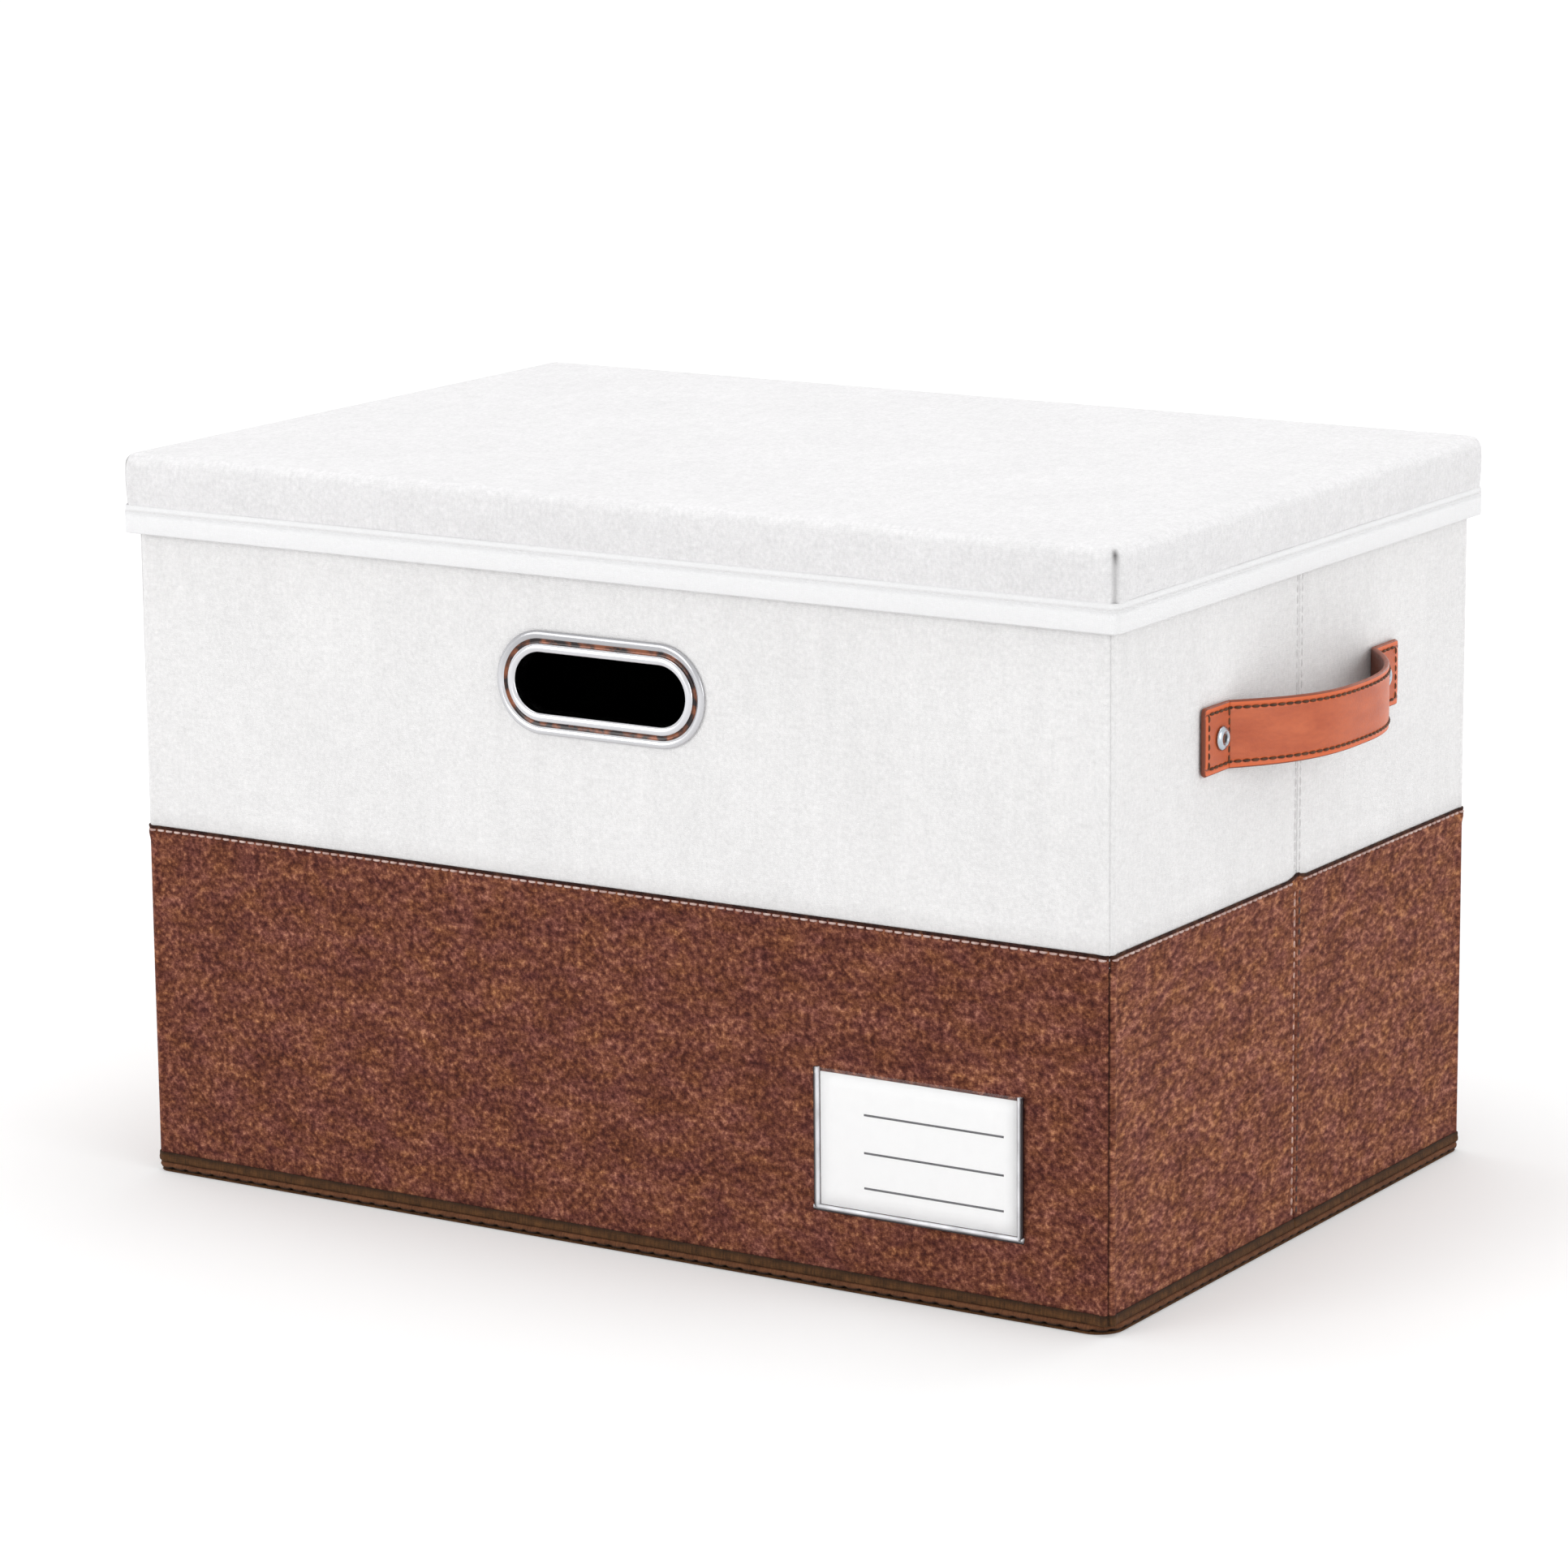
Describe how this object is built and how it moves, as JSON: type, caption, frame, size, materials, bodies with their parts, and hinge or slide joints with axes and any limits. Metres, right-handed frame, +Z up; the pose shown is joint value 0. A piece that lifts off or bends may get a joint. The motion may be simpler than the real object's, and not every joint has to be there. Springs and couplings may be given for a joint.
{
  "type": "foldable storage box with lid",
  "caption": "Fabric-covered storage box with a lift-off lid, metal-ringed oval grip, leather side handles, label pocket and short walls that fold inwards.",
  "frame": {"origin": "on the floor under the middle of the box", "axes": "+Z up, +X along the long front wall towards the label pocket's side, and the front wall faces -Y"},
  "size_m": [0.5054, 0.3096, 0.301],
  "materials": {
    "white_cloth": "fine matt woven cloth",
    "brown_cloth": "heathered red-brown linen twill",
    "dark_binding": "matt woven binding",
    "white_tape": "stitched binding tape",
    "lining_cloth": "matt non-woven lining",
    "cardboard": "raw grey-brown board",
    "polished_ring": "polished",
    "tan_leather": "smooth grain with dark stitching",
    "rivet_metal": "polished",
    "clear_film": "clear flexible film",
    "paper_card": "plain card with ruled lines"
  },
  "bodies": {
    "back_wall": {"base_cloth": "dark_binding", "base_edge_binding": "dark_binding", "back_stiffener_board": "cardboard", "back_upper_cover": "white_cloth", "back_lower_cover": "brown_cloth", "back_lining": "lining_cloth", "back_bottom_binding": "dark_binding"},
    "front_wall": {"front_stiffener_board": "cardboard", "front_upper_cover": "white_cloth", "front_lower_cover": "brown_cloth", "front_lining": "lining_cloth", "front_bottom_binding": "dark_binding", "grip_outer_ring": "polished_ring", "grip_inner_ring": "polished_ring", "label_pocket": "clear_film"},
    "label_card": {"label_card": "paper_card"},
    "right_rear_half": {"right_rear_stiffener_board": "cardboard", "right_rear_upper_cover": "white_cloth", "right_rear_lower_cover": "brown_cloth", "right_rear_lining": "lining_cloth", "right_rear_bottom_binding": "dark_binding", "right_rear_rivet": "rivet_metal", "right_rear_rivet_washer": "rivet_metal", "right_handle_strap": "tan_leather"},
    "right_front_half": {"right_front_stiffener_board": "cardboard", "right_front_upper_cover": "white_cloth", "right_front_lower_cover": "brown_cloth", "right_front_lining": "lining_cloth", "right_front_bottom_binding": "dark_binding", "right_front_rivet": "rivet_metal", "right_front_rivet_washer": "rivet_metal"},
    "left_rear_half": {"left_rear_stiffener_board": "cardboard", "left_rear_upper_cover": "white_cloth", "left_rear_lower_cover": "brown_cloth", "left_rear_lining": "lining_cloth", "left_rear_bottom_binding": "dark_binding", "left_rear_rivet": "rivet_metal", "left_rear_rivet_washer": "rivet_metal", "left_handle_strap": "tan_leather"},
    "left_front_half": {"left_front_stiffener_board": "cardboard", "left_front_upper_cover": "white_cloth", "left_front_lower_cover": "brown_cloth", "left_front_lining": "lining_cloth", "left_front_bottom_binding": "dark_binding", "left_front_rivet": "rivet_metal", "left_front_rivet_washer": "rivet_metal"},
    "bottom_board": {"bottom_board_core": "cardboard", "bottom_board_cloth": "lining_cloth"},
    "lid": {"lid_cover": "white_cloth", "lid_top_board": "cardboard", "lid_front_skirt_board": "cardboard", "lid_back_skirt_board": "cardboard", "lid_left_skirt_board": "cardboard", "lid_right_skirt_board": "cardboard", "lid_lining": "lining_cloth", "lid_binding_tape": "white_tape"}
  },
  "joints": [
    {"name": "wall_fold", "type": "hinge", "parent": "back_wall", "child": "right_rear_half", "pos_m": [0.2203, 0.142, 0.15], "axis": [0, 0, -1], "range_deg": [0, 84], "deforming": ["base_cloth", "base_edge_binding", "right_handle_strap", "left_handle_strap"]},
    {"name": "right_middle_seam", "type": "hinge", "parent": "right_rear_half", "child": "right_front_half", "pos_m": [0.2256, 0, 0.15], "axis": [0, 0, 1], "range_deg": [0, 168]},
    {"name": "right_front_corner", "type": "hinge", "parent": "right_front_half", "child": "front_wall", "pos_m": [0.2203, -0.142, 0.15], "axis": [0, 0, -1], "range_deg": [0, 84]},
    {"name": "left_rear_corner", "type": "hinge", "parent": "back_wall", "child": "left_rear_half", "pos_m": [-0.2203, 0.142, 0.15], "axis": [0, 0, 1], "range_deg": [0, 84]},
    {"name": "left_middle_seam", "type": "hinge", "parent": "left_rear_half", "child": "left_front_half", "pos_m": [-0.2256, 0, 0.15], "axis": [0, 0, -1], "range_deg": [0, 168]},
    {"name": "bottom_board_tip", "type": "hinge", "parent": "back_wall", "child": "bottom_board", "pos_m": [0, 0.1448, 0.0038], "axis": [-1, 0, 0], "range_deg": [0, 90]},
    {"name": "lid_lift", "type": "slide", "parent": "back_wall", "child": "lid", "axis": [0, 0, 1], "range_m": [0, 0.35]},
    {"name": "label_card_slide", "type": "slide", "parent": "front_wall", "child": "label_card", "axis": [0, 0, 1], "range_m": [0, 0.056]}
  ],
  "couplings": [
    {"joint": "right_middle_seam", "follows": "wall_fold", "ratio": 2},
    {"joint": "right_front_corner", "follows": "wall_fold", "ratio": 1},
    {"joint": "left_rear_corner", "follows": "wall_fold", "ratio": 1},
    {"joint": "left_middle_seam", "follows": "wall_fold", "ratio": 2}
  ]
}
